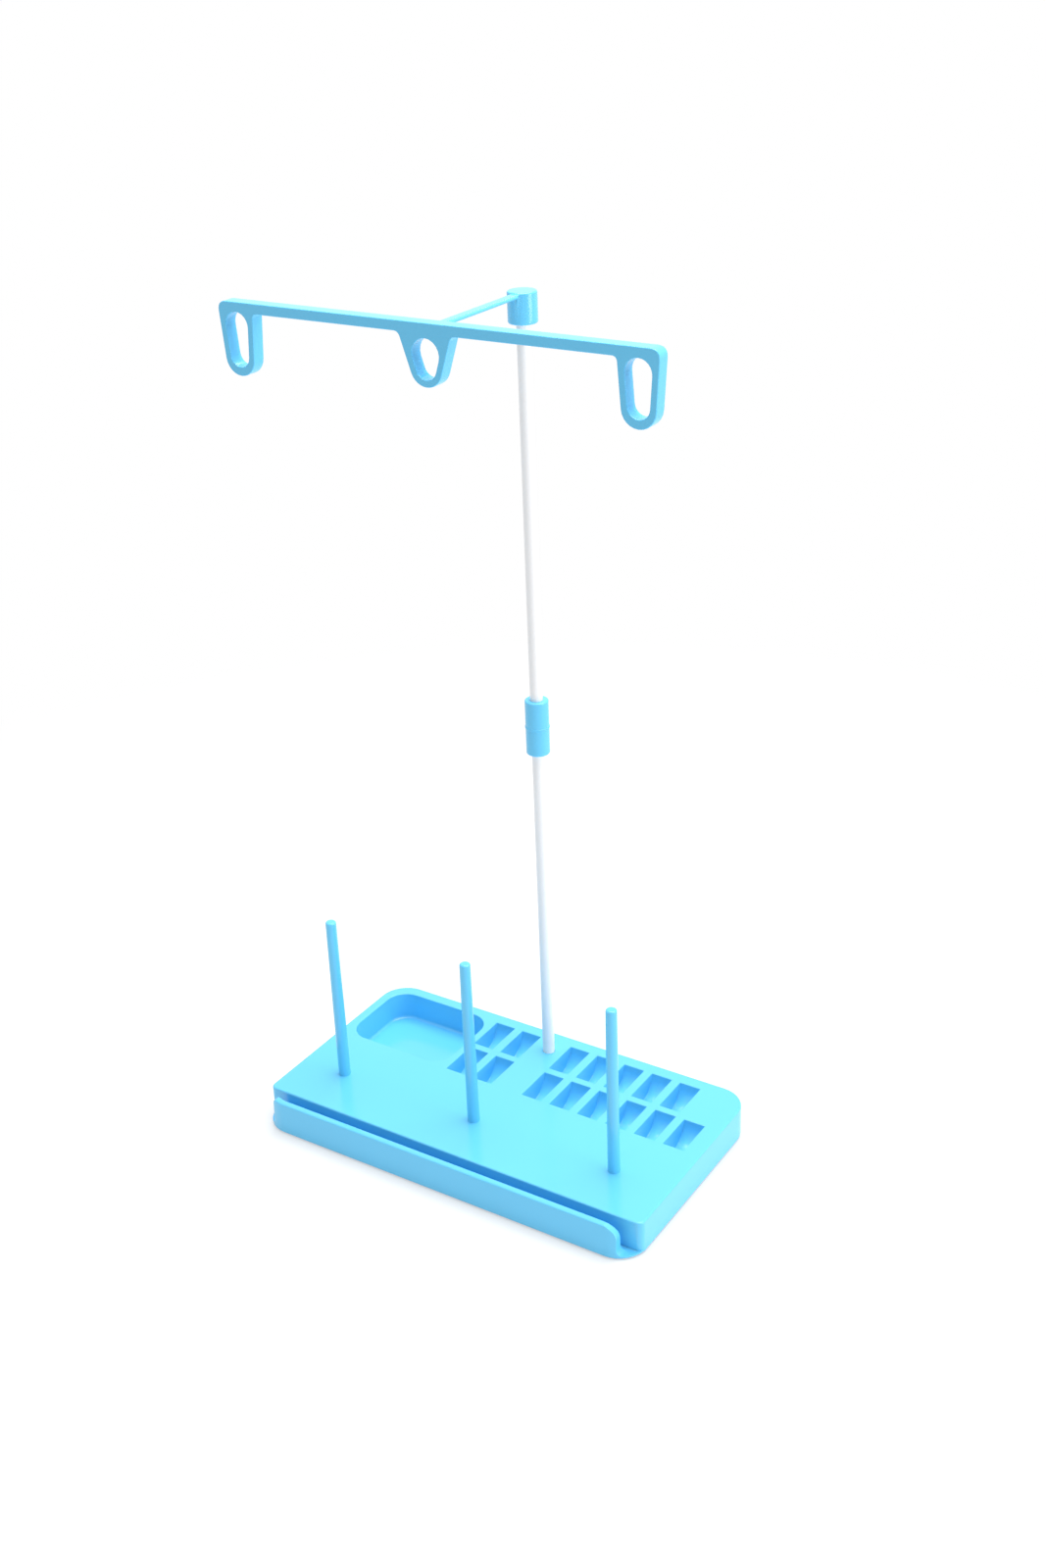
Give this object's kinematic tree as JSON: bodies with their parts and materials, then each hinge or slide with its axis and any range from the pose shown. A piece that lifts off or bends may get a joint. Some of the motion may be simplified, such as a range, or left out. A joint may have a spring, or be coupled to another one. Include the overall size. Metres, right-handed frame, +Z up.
{
  "type": "thread spool stand",
  "caption": "Desktop thread spool stand: a moulded base with a tray and bobbin pockets, upright spool pins, a jointed pole and a thread guide bar with rings.",
  "frame": {"origin": "on the table, under the middle of the base's outline", "axes": "+Z up along the pole, +X to the right along the base's long side, +Y from the front channel towards the pole at the back"},
  "size_m": [0.235, 0.1324, 0.4459],
  "materials": {
    "blue_plastic": "glossy sky-blue moulded styrene",
    "white_rod": "smooth white extruded rod",
    "rubber_pad": "matt pale self-adhesive pad"
  },
  "bodies": {
    "base": {"base_shell": "blue_plastic", "foot_pad_front_left": "rubber_pad", "foot_pad_front_right": "rubber_pad", "foot_pad_back_left": "rubber_pad", "foot_pad_back_right": "rubber_pad"},
    "left_pin": {"spool_pin_left": "blue_plastic"},
    "centre_pin": {"spool_pin_centre": "blue_plastic"},
    "right_pin": {"spool_pin_right": "blue_plastic"},
    "lower_pole": {"lower_rod": "white_rod"},
    "coupling": {"rod_coupling": "blue_plastic"},
    "upper_pole": {"upper_rod": "white_rod"},
    "guide": {"thread_guide": "blue_plastic"}
  },
  "joints": [
    {"name": "left_pin_lift", "type": "slide", "parent": "base", "child": "left_pin", "axis": [0, 0, 1], "range_m": [0, 0.016]},
    {"name": "centre_pin_lift", "type": "slide", "parent": "base", "child": "centre_pin", "axis": [0, 0, 1], "range_m": [0, 0.016]},
    {"name": "right_pin_lift", "type": "slide", "parent": "base", "child": "right_pin", "axis": [0, 0, 1], "range_m": [0, 0.016]},
    {"name": "lower_rod_lift", "type": "slide", "parent": "base", "child": "lower_pole", "axis": [0, 0, 1], "range_m": [0, 0.02]},
    {"name": "coupling_lift", "type": "slide", "parent": "lower_pole", "child": "coupling", "axis": [0, 0, 1], "range_m": [0, 0.017]},
    {"name": "upper_rod_lift", "type": "slide", "parent": "coupling", "child": "upper_pole", "axis": [0, 0, 1], "range_m": [0, 0.017]},
    {"name": "guide_swivel", "type": "hinge", "parent": "upper_pole", "child": "guide", "pos_m": [-0.001, 0.0497, 0.435], "axis": [0, 0, 1], "continuous": true}
  ]
}
